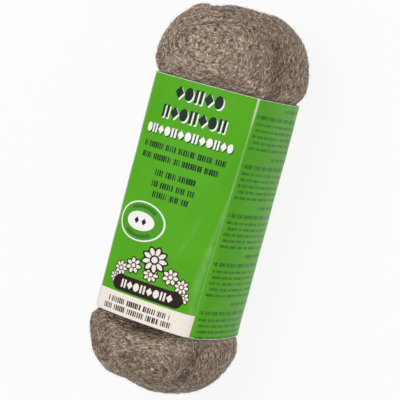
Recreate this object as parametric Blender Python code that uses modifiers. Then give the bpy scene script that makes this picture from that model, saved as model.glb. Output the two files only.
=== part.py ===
"""A roll of fine steel wool in a printed paper sleeve, lying on its back.

Metres, +Z up. The roll lies along Y with the top of its sleeve towards +Y and the sleeve's
front panel upwards. The origin is under the middle of the roll, on the surface it lies on.
Directions round the roll are angles from +X towards +Z.
"""

import math

import bmesh
import bpy
from mathutils import Matrix, Vector, noise

# The roll as a whole
ROLL_LENGTH = 0.220
PRESSED_FLAT = 0.0019  # how far the soft wool is pressed in where it lies on the surface

# The wool past each end of the sleeve: a short neck, then a dome
TOP_NECK = 0.0040
TOP_DOME = 0.0420
TOP_DOME_POWER = 2.5
TOP_WIDTH = 0.0846
TOP_HEIGHT = 0.0738
BOTTOM_NECK = 0.0040
BOTTOM_DOME = 0.0360
BOTTOM_DOME_POWER = 2.3
BOTTOM_WIDTH = 0.0826
BOTTOM_HEIGHT = 0.0738
SECTION_POWER = 2.5  # 2 is an ellipse, and more is squarer
BULGE_RUN = 0.0100  # the length over which the pinched wool swells to its full section
AXIS_HEIGHT = min(TOP_HEIGHT, BOTTOM_HEIGHT) / 2 - PRESSED_FLAT

# The paper sleeve: a strip creased into four panels round the roll
SLEEVE_TOP_Y = ROLL_LENGTH / 2 - TOP_DOME - TOP_NECK
SLEEVE_BOTTOM_Y = BOTTOM_DOME + BOTTOM_NECK - ROLL_LENGTH / 2
FRONT_PANEL = 0.0616  # crease to crease, and the back panel is its twin
SIDE_PANEL = 0.0600
FRONT_BULGE = 0.0042  # how far the wool pushes out the middle of a panel
BACK_BULGE = 0.0046
SIDE_BULGE = 0.0050
SLEEVE_TAPER = 0.018  # how much wider the sleeve is at its top, as a share
SLEEVE_TWIST = math.radians(5.0)  # how far it is wrung, from its bottom edge to its top
PAPER = 0.00025
GLUE_FLAP = 0.014  # the strip's first end, folded inside the last panel
GLUE = 0.00015
FLAP_RAMP = 0.004  # the length over which the last panel climbs onto the flap
FLAP_END_GAP = 0.0003  # the strip's last edge stops this far short of the crease
SLEEVE_TO_WOOL = 0.0003
SLEEVE_TO_FLOOR = 0.0004

# The last turn of the wool: its free edge runs along the roll and winds into each end
TURN_THICKNESS = 0.0026
VALLEY_DEPTH = 0.0020
VALLEY_REACH = 0.0050
STEP_REACH = 0.0100  # how far from the edge the last turn has its full thickness
TOP_EDGE_ANGLE = math.radians(30)
BOTTOM_EDGE_ANGLE = math.radians(38)
END_TURNS = 1.3
END_TURNS_POWER = 2.5  # how late, on its way to the pole, the edge starts to wind
POLE_EASE = 0.35  # the share of the section inside which the turns die away

# Softness of the wool
LUMP_HEIGHT = 0.0017
LUMP_LENGTH = 0.021
TUCK_DEPTH = 0.0030  # the hollow under the sleeve's bottom edge, at the front
TUCK_ANGLE = math.radians(82)
TUCK_SPREAD = math.radians(33)
TUCK_LENGTH = 0.0070

# Facets
WOOL_SEGMENTS = 96
RINGS_IN_SLEEVE = 8
NECK_RINGS = 3
DOME_RINGS = 20
SLEEVE_STEPS_ROUND = 96
SLEEVE_STEPS_ALONG = 9
PROFILE_SAMPLES = 400

FULL_TURN = 2 * math.pi


def smooth(share):
    """0 to 1 with a level start and end, as share goes from 0 to 1."""
    share = min(max(share, 0.0), 1.0)
    return share * share * (3 - 2 * share)


def turned(angle):
    """An angle brought into -pi to pi."""
    return (angle + math.pi) % FULL_TURN - math.pi


def at(theta, radius, y):
    """The point in that direction and at that distance from the roll's axis."""
    return Vector((radius * math.cos(theta), y, AXIS_HEIGHT + radius * math.sin(theta)))


def share_along_sleeve(y):
    """0 at the sleeve's bottom edge and below it, 1 at its top edge and above it."""
    return min(max((y - SLEEVE_BOTTOM_Y) / (SLEEVE_TOP_Y - SLEEVE_BOTTOM_Y), 0.0), 1.0)


def twist(y):
    """How far the sleeve's section is turned at y."""
    return SLEEVE_TWIST * (0.5 - share_along_sleeve(y))


def sleeve_section(theta, y, inset):
    """Distance from the axis to the sleeve's outer face, less an inset, before its twist."""
    grown = 1 + SLEEVE_TAPER * (share_along_sleeve(y) - 0.5)
    half_width = FRONT_PANEL / 2 * grown
    half_height = SIDE_PANEL / 2 * grown
    across = max(abs(math.cos(theta)), 1e-9)
    up = max(abs(math.sin(theta)), 1e-9)
    bulge = FRONT_BULGE if math.sin(theta) > 0 else BACK_BULGE
    along_front = min(across / up * half_height / half_width, 1.0)
    along_side = min(up / across * half_width / half_height, 1.0)
    to_front = (half_height + bulge * (1 - along_front**2) - inset) / up
    to_side = (half_width + SIDE_BULGE * (1 - along_side**2) - inset) / across
    return min(to_front, to_side)


def crease_angles():
    """The four creases, before the twist, from the front right one round to the back right one."""
    corner = math.atan2(SIDE_PANEL, FRONT_PANEL)
    return corner, math.pi - corner, math.pi + corner, FULL_TURN - corner


def strip_angles():
    """Directions of the strip's stations, and of the place where it starts to climb on its flap."""
    last_crease = crease_angles()[2]
    corner_radius = math.hypot(FRONT_PANEL, SIDE_PANEL) / 2
    start = last_crease - GLUE_FLAP / corner_radius
    end = last_crease + FULL_TURN - FLAP_END_GAP / corner_radius
    climb = start + FULL_TURN - FLAP_RAMP / corner_radius
    stops = [start, climb, start + FULL_TURN, end]
    for angle in crease_angles():
        stops += [angle + FULL_TURN * k for k in (0, 1) if start < angle + FULL_TURN * k < end]
    stops.sort()
    step = (end - start) / SLEEVE_STEPS_ROUND
    angles = [start]
    for low, high in zip(stops, stops[1:]):
        count = max(1, round((high - low) / step))
        angles += [low + (high - low) * k / count for k in range(1, count + 1)]
    return angles, climb


def make_sleeve(material):
    """The strip as an open surface wrapped round the roll, thickened outwards."""
    angles, climb = strip_angles()
    ramp = FLAP_RAMP / (math.hypot(FRONT_PANEL, SIDE_PANEL) / 2)
    shape = bmesh.new()
    columns = len(angles) - 1
    bmesh.ops.create_grid(shape, x_segments=columns, y_segments=SLEEVE_STEPS_ALONG, size=0.5)
    for vertex in shape.verts:
        theta = angles[round((vertex.co.x + 0.5) * columns)]
        y = SLEEVE_BOTTOM_Y + (vertex.co.y + 0.5) * (SLEEVE_TOP_Y - SLEEVE_BOTTOM_Y)
        raised = smooth((theta - climb) / ramp) * (PAPER + GLUE)
        radius = sleeve_section(theta, y, PAPER) + raised
        vertex.co = at(theta + twist(y), radius, y)
        vertex.co.z = max(vertex.co.z, SLEEVE_TO_FLOOR + PAPER)
    face_outwards(shape)
    sleeve = finished("paper_sleeve", shape, material)
    wall = sleeve.modifiers.new("paper", "SOLIDIFY")
    wall.thickness = PAPER
    wall.offset = 1
    wall.use_even_offset = True
    return sleeve


def face_outwards(shape):
    """Turns all the faces the same way, with the first one facing away from the axis."""
    bmesh.ops.recalc_face_normals(shape, faces=shape.faces)
    shape.faces.ensure_lookup_table()
    middle = shape.faces[0].calc_center_median()
    if shape.faces[0].normal.dot(middle - Vector((0, middle.y, AXIS_HEIGHT))) < 0:
        bmesh.ops.reverse_faces(shape, faces=shape.faces)


def dome_rings(length, half_width, power):
    """(distance past the shoulder, share of the full section), evenly spaced to the pole."""
    samples = []
    for k in range(PROFILE_SAMPLES + 1):
        slant = math.pi / 2 * k / PROFILE_SAMPLES
        along = length * math.sin(slant) ** (2 / power)
        samples.append((along, max(math.cos(slant), 0.0) ** (2 / power)))
    gone = [0.0]
    for (along, share), (next_along, next_share) in zip(samples, samples[1:]):
        gone.append(gone[-1] + math.hypot(next_along - along, (next_share - share) * half_width))
    rings = []
    sample = 0
    for k in range(1, DOME_RINGS):
        wanted = gone[-1] * k / DOME_RINGS
        while gone[sample + 1] < wanted:
            sample += 1
        rings.append(samples[sample])
    return rings + [(length, 0.0)]


def end_rings(edge, outwards, neck, dome):
    """(y, share of the full section) of each ring from a sleeve edge out to the pole."""
    rings = [(edge + outwards * neck * k / NECK_RINGS, 1.0) for k in range(1, NECK_RINGS + 1)]
    return rings + [(edge + outwards * (neck + past), share) for past, share in dome]


def wool_rings():
    """(y, share of the full section) of each ring of the wool, from its bottom pole to its top."""
    top_dome = dome_rings(TOP_DOME, TOP_WIDTH / 2, TOP_DOME_POWER)
    bottom_dome = dome_rings(BOTTOM_DOME, BOTTOM_WIDTH / 2, BOTTOM_DOME_POWER)
    top = end_rings(SLEEVE_TOP_Y, 1, TOP_NECK, top_dome)
    bottom = end_rings(SLEEVE_BOTTOM_Y, -1, BOTTOM_NECK, bottom_dome)
    step = (SLEEVE_TOP_Y - SLEEVE_BOTTOM_Y) / RINGS_IN_SLEEVE
    middle = [(SLEEVE_BOTTOM_Y + step * k, 1.0) for k in range(RINGS_IN_SLEEVE + 1)]
    return bottom[::-1] + middle + top


def swell(y):
    """0 in the sleeve and at its edges, rising to 1 where the wool has its full bulge."""
    return smooth(max(y - SLEEVE_TOP_Y, SLEEVE_BOTTOM_Y - y) / BULGE_RUN)


def wool_section(theta, y):
    """Distance from the axis to the wool's full section at y: boxed in the sleeve, round past it."""
    pinched = sleeve_section(theta - twist(y), y, PAPER + SLEEVE_TO_WOOL)
    width, height = (TOP_WIDTH, TOP_HEIGHT) if y > 0 else (BOTTOM_WIDTH, BOTTOM_HEIGHT)
    across = (2 * abs(math.cos(theta)) / width) ** SECTION_POWER
    up = (2 * abs(math.sin(theta)) / height) ** SECTION_POWER
    full = (across + up) ** (-1 / SECTION_POWER)
    return pinched + (full - pinched) * swell(y)


def turn_relief(theta, radius, share, y):
    """The last turn: it thickens round the roll and drops into a valley at its free edge."""
    edge = TOP_EDGE_ANGLE if y > 0 else BOTTOM_EDGE_ANGLE
    edge += FULL_TURN * END_TURNS * (1 - share) ** END_TURNS_POWER
    winding = FULL_TURN * END_TURNS * END_TURNS_POWER * (1 - share) ** (END_TURNS_POWER - 1)
    past_edge = ((theta - edge) % FULL_TURN) / FULL_TURN
    away = abs(turned(theta - edge)) * radius / math.hypot(1, share * winding)
    step = TURN_THICKNESS * (0.5 - past_edge) * smooth(away / STEP_REACH)
    valley = VALLEY_DEPTH * math.exp(-((away / VALLEY_REACH) ** 2))
    return (step - valley) * smooth(share / POLE_EASE)


def relief(theta, radius, share, y):
    """How far the wool stands proud of its plain form at that place."""
    lumps = LUMP_HEIGHT * noise.noise(at(theta, radius, y) / LUMP_LENGTH)
    round_tuck = turned(theta - TUCK_ANGLE) / TUCK_SPREAD
    along_tuck = (y - SLEEVE_BOTTOM_Y) / TUCK_LENGTH
    tuck = TUCK_DEPTH * math.exp(-(round_tuck**2) - along_tuck**2)
    return swell(y) * (turn_relief(theta, radius, share, y) + lumps) - tuck


def make_wool(material):
    """The roll of wool: a ball drawn out along Y onto the roll's sections, then given its relief."""
    rings = wool_rings()
    shape = bmesh.new()
    bmesh.ops.create_uvsphere(shape, u_segments=WOOL_SEGMENTS, v_segments=len(rings) - 1, radius=1)
    bmesh.ops.rotate(shape, cent=(0, 0, 0), matrix=Matrix.Rotation(-math.pi / 2, 3, "X"), verts=shape.verts)
    places = []
    for vertex in shape.verts:
        latitude = math.asin(min(max(vertex.co.y, -1.0), 1.0)) / math.pi + 0.5
        y, share = rings[round(latitude * (len(rings) - 1))]
        theta = math.atan2(vertex.co.z, vertex.co.x)
        radius = share * wool_section(theta, y)
        places.append((theta, radius, share, y))
        vertex.co = at(theta, radius, y)
    face_outwards(shape)
    shape.normal_update()
    in_sleeve_floor = SLEEVE_TO_FLOOR + PAPER + SLEEVE_TO_WOOL
    for vertex, (theta, radius, share, y) in zip(shape.verts, places):
        vertex.co += vertex.normal * relief(theta, radius, share, y)
        vertex.co.z = max(vertex.co.z, in_sleeve_floor * (1 - swell(y)))
    return finished("wool_roll", shape, material)


def finished(name, shape, material):
    """An object made of that shape, shaded smooth, in the roll's collection."""
    mesh = bpy.data.meshes.new(name)
    shape.to_mesh(mesh)
    shape.free()
    mesh.shade_smooth()
    mesh.materials.append(material)
    made = bpy.data.objects.new(name, mesh)
    bpy.data.collections["steel_wool"].objects.link(made)
    return made


def finish(name, colour, roughness, metallic):
    """A plain surface of that colour."""
    material = bpy.data.materials.new(name)
    material.use_nodes = True
    surface = material.node_tree.nodes["Principled BSDF"]
    surface.inputs["Base Color"].default_value = (*colour, 1)
    surface.inputs["Roughness"].default_value = roughness
    surface.inputs["Metallic"].default_value = metallic
    return material


def centre_on_origin(parts):
    """Moves the parts together until the middle of their box is over the origin."""
    corners = [vertex.co for part in parts for vertex in part.data.vertices]
    for axis in (0, 1):
        values = [corner[axis] for corner in corners]
        for part in parts:
            part.location[axis] -= (min(values) + max(values)) / 2


def main():
    """Clears the scene and builds the roll."""
    for old in list(bpy.data.objects):
        bpy.data.objects.remove(old)
    bpy.context.scene.collection.children.link(bpy.data.collections.new("steel_wool"))
    wool = make_wool(finish("steel_wool", (0.25, 0.18, 0.14), 0.45, 0.8))
    sleeve = make_sleeve(finish("green_paper", (0.11, 0.42, 0.03), 0.35, 0.0))
    centre_on_origin([wool, sleeve])


main()
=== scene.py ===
"""The looks of a roll of fine steel wool in a green printed paper sleeve, lying on its back.

Metres, +Z up. The roll lies along Y with the top of its sleeve towards +Y and the sleeve's front
panel upwards. Directions round the roll are angles from +X towards +Z.
"""

import logging
import math
from dataclasses import dataclass, field
from enum import Enum

import bmesh
import bpy
from mathutils import Matrix, Vector, noise


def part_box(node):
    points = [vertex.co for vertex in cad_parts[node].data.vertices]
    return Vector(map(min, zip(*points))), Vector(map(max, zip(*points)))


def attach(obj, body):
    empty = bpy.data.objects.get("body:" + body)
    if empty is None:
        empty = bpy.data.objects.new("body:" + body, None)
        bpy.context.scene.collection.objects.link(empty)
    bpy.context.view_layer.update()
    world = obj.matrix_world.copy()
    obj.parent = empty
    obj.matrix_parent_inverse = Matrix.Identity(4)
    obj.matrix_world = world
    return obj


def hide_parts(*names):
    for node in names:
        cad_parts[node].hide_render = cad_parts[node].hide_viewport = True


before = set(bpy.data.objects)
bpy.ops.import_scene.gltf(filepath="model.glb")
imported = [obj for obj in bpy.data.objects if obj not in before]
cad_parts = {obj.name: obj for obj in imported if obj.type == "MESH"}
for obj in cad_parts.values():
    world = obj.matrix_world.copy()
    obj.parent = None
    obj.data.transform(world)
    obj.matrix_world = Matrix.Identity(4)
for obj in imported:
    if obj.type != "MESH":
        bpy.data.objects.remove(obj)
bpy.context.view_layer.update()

Colour = tuple[float, float, float]
Socket = bpy.types.NodeSocket
Object = bpy.types.Object
Material = bpy.types.Material

FULL_TURN = 2 * math.pi
MM = 0.001
TINY = 1e-9
FLOW = "flow"  # which way the wool's strands run
FACING = "facing"  # which way the wool's skin faces
PAINTED_SHADE = "shade"  # painted shade, 1 deep in a fold and in the hollow under the sleeve's bottom edge
LOFT = "loft"  # 0 where the sleeve holds the wool down, 1 where it is loose
PATCH = "patch"  # the part of the skin that a piece of strands grows on
TIP = "tip"  # the growing end of a strand
TINT = "tint"  # how light a strand is
TURN = "turn"  # how far a strand strays from the flow
BEND = "bend"  # how a strand curls
RISE = "rise"  # how high a strand arches
PLACE = "paper_place"  # across the strip from the front left crease, and along it, in metres

log = logging.getLogger("steel_wool_roll")


def smooth(share: float) -> float:
    """0 to 1 with a level start and end, as share goes from 0 to 1."""
    share = min(max(share, 0.0), 1.0)
    return share * share * (3 - 2 * share)


class Graph:
    """Adds nodes to a tree and links them."""

    def __init__(self, tree: bpy.types.NodeTree) -> None:
        """Takes the tree that the nodes go in."""
        self.tree = tree

    def node(self, kind: str, inputs: dict | None = None, **settings: object) -> bpy.types.Node:
        """Adds a node.

        Args:
            kind: the node's type.
            inputs: values or sockets by the input's name or number.
            settings: the node's own properties.

        Returns:
            The new node.
        """
        made = self.tree.nodes.new(kind)
        for name, value in settings.items():
            setattr(made, name, value)
        for key, value in (inputs or {}).items():
            self.feed(made.inputs[key], value)
        return made

    def feed(self, socket: Socket, value: object) -> None:
        """Links a socket to another, or sets its value.

        Args:
            socket: the input.
            value: the output to link, or a plain value.
        """
        if isinstance(value, Socket):
            self.tree.links.new(value, socket)
        else:
            socket.default_value = value

    def maths(self, operation: str, *values: object) -> Socket:
        """The result of one sum on up to three values or sockets."""
        return self.node("ShaderNodeMath", dict(enumerate(values)), operation=operation).outputs[0]

    def vector(self, operation: str, *values: object) -> Socket:
        """The vector result of one sum on vectors."""
        return self.node("ShaderNodeVectorMath", dict(enumerate(values)), operation=operation).outputs[0]

    def scaled(self, vector: Socket, factor: object) -> Socket:
        """A vector times a number."""
        return self.node("ShaderNodeVectorMath", {0: vector, "Scale": factor}, operation="SCALE").outputs[0]

    def dot(self, first: object, second: object) -> Socket:
        """The dot product of two vectors."""
        made = self.node("ShaderNodeVectorMath", {0: first, 1: second}, operation="DOT_PRODUCT")
        return made.outputs["Value"]

    def ramp(
            self, value: object, low: object, high: object, to_low: object = 0.0,
            to_high: object = 1.0) -> Socket:
        """A value's place between two others, smoothly, as a number from to_low to to_high."""
        inputs = {0: value, 1: low, 2: high, 3: to_low, 4: to_high}
        return self.node("ShaderNodeMapRange", inputs, interpolation_type="SMOOTHSTEP").outputs[0]

    def mix(self, share: object, under: object, over: object) -> Socket:
        """A blend of two colours.

        Args:
            share: how much of the second shows, 0 to 1.
            under: the first colour, three numbers or a socket.
            over: the second colour.

        Returns:
            The colour's socket.
        """
        first, second = (value if isinstance(value, Socket) else (*value, 1) for value in (under, over))
        return self.node("ShaderNodeMix", {0: share, 6: first, 7: second}, data_type="RGBA").outputs[2]

    def noise(self, vector: object, size: float, detail: float = 2.0) -> Socket:
        """Smooth noise of about 0 to 1, with lumps of that size and finer layers."""
        inputs = {"Vector": vector, "Scale": 1 / size, "Detail": detail}
        return self.node("ShaderNodeTexNoise", inputs).outputs[0]

    def place(self) -> Socket:
        """Where the shaded point lies, in metres."""
        return self.node("ShaderNodeTexCoord").outputs["Object"]

    def stored(self, name: str) -> Socket:
        """A number stored on the mesh."""
        return self.node("ShaderNodeAttribute", attribute_name=name).outputs["Fac"]

    def apart(self, first: object, second: object) -> Socket:
        """How far two numbers are apart."""
        return self.maths("ABSOLUTE", self.maths("SUBTRACT", first, second))

    def hypot(self, first: Socket, second: Socket) -> Socket:
        """The length of the long side of a right triangle with those two sides."""
        squares = [self.maths("MULTIPLY", side, side) for side in (first, second)]
        return self.maths("SQRT", self.maths("ADD", *squares))

    def dice(self, first: object, second: object) -> Socket:
        """A random number from 0 to 1 for each pair of numbers."""
        pair = self.node("ShaderNodeCombineXYZ", {0: first, 1: second}).outputs[0]
        return self.node("ShaderNodeTexWhiteNoise", {"Vector": pair}, noise_dimensions="2D").outputs[0]


def group_tree(
        name: str, inputs: dict[str, float],
        outputs: list[str]) -> tuple[Graph, dict[str, Socket], bpy.types.Node]:
    """An empty shader node group with number inputs and outputs.

    Args:
        name: the group's name.
        inputs: each input's name and default.
        outputs: the outputs' names.

    Returns:
        The graph to build in, the inputs' sockets by name and the output node.
    """
    tree = bpy.data.node_groups.new(name, "ShaderNodeTree")
    for key, value in inputs.items():
        tree.interface.new_socket(key, in_out="INPUT", socket_type="NodeSocketFloat").default_value = value
    for key in outputs:
        tree.interface.new_socket(key, in_out="OUTPUT", socket_type="NodeSocketFloat")
    graph = Graph(tree)
    source = graph.node("NodeGroupInput")
    return graph, {key: source.outputs[key] for key in inputs}, graph.node("NodeGroupOutput")


def plain_material(
        name: str, colour: Colour, roughness: float,
        metallic: float = 0.0) -> tuple[Material, Graph, bpy.types.Node]:
    """A material with one Principled BSDF.

    Args:
        name: its name.
        colour: its base colour.
        roughness: its roughness.
        metallic: 1 for bare metal.

    Returns:
        The material, a graph on its tree and the Principled BSDF.
    """
    material = bpy.data.materials.new(name)
    material.use_nodes = True
    graph = Graph(material.node_tree)
    surface = material.node_tree.nodes["Principled BSDF"]
    graph.feed(surface.inputs["Base Color"], (*colour, 1))
    graph.feed(surface.inputs["Roughness"], roughness)
    graph.feed(surface.inputs["Metallic"], metallic)
    return material, graph, surface


@dataclass(frozen=True)
class RollForm:
    """The sizes of the paper sleeve, which are the solids' own, and the places read from the frame."""

    axis_height: float = 0.0350
    front_panel: float = 0.0616
    side_panel: float = 0.0600
    front_bulge: float = 0.0042
    back_bulge: float = 0.0046
    side_bulge: float = 0.0050
    taper: float = 0.018
    wrung: float = math.radians(5.0)
    paper: float = 0.00025
    glue_flap: float = 0.014
    glue: float = 0.00015
    flap_ramp: float = 0.004
    flap_end_gap: float = 0.0003
    to_floor: float = 0.0004
    low_y: float = field(default_factory=lambda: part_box("paper_sleeve")[0].y)  # the sleeve's bottom edge
    high_y: float = field(default_factory=lambda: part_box("paper_sleeve")[1].y)  # its top edge

    def past_sleeve(self, y: float) -> float:
        """How far y lies outside the sleeve, less than zero inside it."""
        return max(y - self.high_y, self.low_y - y)

    def creases(self) -> tuple[float, float, float, float]:
        """The four creases, from the front right one round to the back right one."""
        corner = math.atan2(self.side_panel, self.front_panel)
        return corner, math.pi - corner, math.pi + corner, FULL_TURN - corner

    def section(self, theta: float, share: float, inset: float, rounding: float) -> float:
        """Distance from the axis to the sleeve's outer face.

        Args:
            theta: the direction, before the sleeve's twist.
            share: the place along the sleeve, 0 to 1.
            inset: how far inside that face.
            rounding: how far the crease nearby is rounded off, in metres.

        Returns:
            The distance.
        """
        grown = 1 + self.taper * (share - 0.5)
        half_width = self.front_panel / 2 * grown
        half_height = self.side_panel / 2 * grown
        across = max(abs(math.cos(theta)), TINY)
        up = max(abs(math.sin(theta)), TINY)
        bulge = self.front_bulge if math.sin(theta) > 0 else self.back_bulge
        along_front = min(across / up * half_height / half_width, 1.0)
        along_side = min(up / across * half_width / half_height, 1.0)
        to_front = (half_height + bulge * (1 - along_front**2) - inset) / up
        to_side = (half_width + self.side_bulge * (1 - along_side**2) - inset) / across
        near = max(rounding - abs(to_front - to_side), 0.0) / rounding
        return min(to_front, to_side) - near * near * rounding / 4


@dataclass(frozen=True)
class Swirl:
    """The way the strands lie at one end: they circle the place where the skin faces that way."""

    facing: tuple[float, float, float]

    def flow(self, facing: Vector) -> Vector:
        """The direction of the strands where the skin faces that way."""
        along = facing.cross(Vector(self.facing).normalized())
        return along.normalized() if along.length > 1e-4 else facing.orthogonal().normalized()


class End(Enum):
    """The two ends of the roll that stand out of the sleeve."""

    TOP = Swirl((-0.05, 0.27, 0.96))
    BOTTOM = Swirl((0.12, -0.36, 0.93))

    @staticmethod
    def at(y: float) -> "End":
        """The end that a place belongs to."""
        return End.TOP if y > 0 else End.BOTTOM


END_EDGES = {End.TOP: math.radians(30), End.BOTTOM: math.radians(38)}  # the last turn's free edge


class Side(Enum):
    """The parts of each end that are strands of their own piece."""

    LEFT = "left"
    RIGHT = "right"
    UNDER = "under"


def streaks_group() -> bpy.types.NodeTree:
    """A group that gives streaks lying as the strands do.

    The strands circle the way that their end's swirl faces, so planes across that way follow them.

    Returns:
        The group, with the streaks as a number of about 0 to 1.
    """
    keys = {"Width": 0.5 * MM, "Length": 2.0 * MM, "Tangle": 0.35 * MM}
    graph, given, out = group_tree("wool_streaks", keys, ["Streaks"])
    maths = graph.maths
    place = graph.place()
    height = graph.node("ShaderNodeSeparateXYZ", {0: place}).outputs["Y"]
    towards_top = maths("GREATER_THAN", height, 0.0)
    lines = [graph.dot(place, Vector(end.value.facing).normalized()) for end in (End.BOTTOM, End.TOP)]
    across = graph.node("ShaderNodeMix", {0: towards_top, 2: lines[0], 3: lines[1]}).outputs[0]
    wide = maths("MULTIPLY", given["Tangle"], 6.0)
    strayed = maths("MULTIPLY_ADD", graph.noise(place, 5 * MM), wide, across)
    fine = maths("MULTIPLY_ADD", graph.noise(place, 1.3 * MM, 1.0), given["Tangle"], strayed)
    counted = maths("MULTIPLY", fine, maths("DIVIDE", given["Length"], given["Width"]))
    inputs = {"Vector": place, "W": counted, "Scale": maths("DIVIDE", 1.0, given["Length"]), "Detail": 2.0,
              "Roughness": 0.6}
    streaks = graph.node("ShaderNodeTexNoise", inputs, noise_dimensions="4D").outputs[0]
    graph.feed(out.inputs["Streaks"], streaks)
    return graph.tree


def wool_streaks(graph: Graph, width: float) -> Socket:
    """The shared group's streaks, of that width."""
    tree = bpy.data.node_groups.get("wool_streaks") or streaks_group()
    return graph.node("ShaderNodeGroup", {"Width": width}, node_tree=tree).outputs["Streaks"]


@dataclass(frozen=True)
class WoolFinish:
    """Matted brown steel with streaks that lie as the strands do, and painted shade: dark between the
    strands, in folds and in the hollow under the sleeve.
    """

    # shadow is the colour of the painted shade between the strands, in folds and hollows, and of the darker
    # patches
    shadow: Colour = (0.045, 0.031, 0.023)
    middle: Colour = (0.26, 0.185, 0.137)
    light: Colour = (0.78, 0.63, 0.50)
    streak_width: float = 0.5 * MM
    patch_size: float = 9 * MM
    bump: float = 0.5 * MM
    roughness: float = 0.42
    metallic: float = 0.75
    depth: float = 0.8  # how dark the painted shade makes folds and hollows

    def material(self) -> Material:
        """The wool's skin.

        Returns:
            The material.
        """
        material, graph, surface = plain_material("matted_steel", self.middle, self.roughness, self.metallic)
        streaks = wool_streaks(graph, self.streak_width)
        patches = graph.noise(graph.place(), self.patch_size)
        light = graph.ramp(streaks, 0.48, 0.74)
        # painted shade between the strands, where the streaks are dark
        dark = graph.mix(graph.ramp(streaks, 0.28, 0.52), self.shadow, self.middle)
        coloured = graph.mix(light, dark, self.light)
        shaded = graph.mix(graph.ramp(patches, 0.3, 0.7, 0.0, 0.35), coloured, self.shadow)
        # painted shade in the folds and in the hollow under the sleeve's edge
        deep = graph.stored(PAINTED_SHADE)
        shaded = graph.mix(graph.maths("MULTIPLY", deep, self.depth), shaded, self.shadow)
        graph.feed(surface.inputs["Base Color"], shaded)
        bump = graph.node("ShaderNodeBump", {"Strength": 1.0, "Distance": self.bump, "Height": streaks})
        graph.feed(surface.inputs["Normal"], bump.outputs[0])
        return material


@dataclass(frozen=True)
class StrandFinish:
    """Bright drawn steel with a brown cast, each strand a little lighter or darker than the next, with
    painted glints and darker stretches along the streaks and painted shade in folds and hollows.
    """

    # tones from dark to light, each strand's own; along the streaks the light end also gives painted glints
    dark: Colour = (0.10, 0.068, 0.050)
    middle: Colour = (0.47, 0.350, 0.265)
    light: Colour = (1.0, 0.90, 0.77)
    roughness: float = 0.32
    metallic: float = 0.9
    streak_width: float = 0.32 * MM
    contrast: float = 4.2
    variety: float = 0.7  # how much strands differ
    base: float = 0.16
    depth: float = 0.55  # how dark the painted shade makes folds and hollows

    def material(self) -> Material:
        """The strands' surface.

        Returns:
            The material.
        """
        material, graph, surface = plain_material("drawn_steel", self.middle, self.roughness, self.metallic)
        tint = graph.stored(TINT)
        # painted shade in the folds and in the hollow under the sleeve's edge darkens the strands
        deep = graph.stored(PAINTED_SHADE)
        tint = graph.maths("SUBTRACT", tint, graph.maths("MULTIPLY", deep, self.depth))
        # painted glints where the streaks are light, with darker stretches between, on top of each strand's
        # own tint
        grain = wool_streaks(graph, self.streak_width)
        spread = graph.maths("MULTIPLY_ADD", tint, self.variety, self.base)
        shade = graph.maths("MULTIPLY_ADD", graph.maths("SUBTRACT", grain, 0.5), self.contrast, spread)
        brown = graph.mix(graph.ramp(shade, 0.0, 0.55), self.dark, self.middle)
        graph.feed(surface.inputs["Base Color"], graph.mix(graph.ramp(shade, 0.62, 1.0), brown, self.light))
        rough = graph.ramp(grain, 0.3, 0.7, self.roughness - 0.08, self.roughness + 0.1)
        graph.feed(surface.inputs["Roughness"], rough)
        return material


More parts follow.
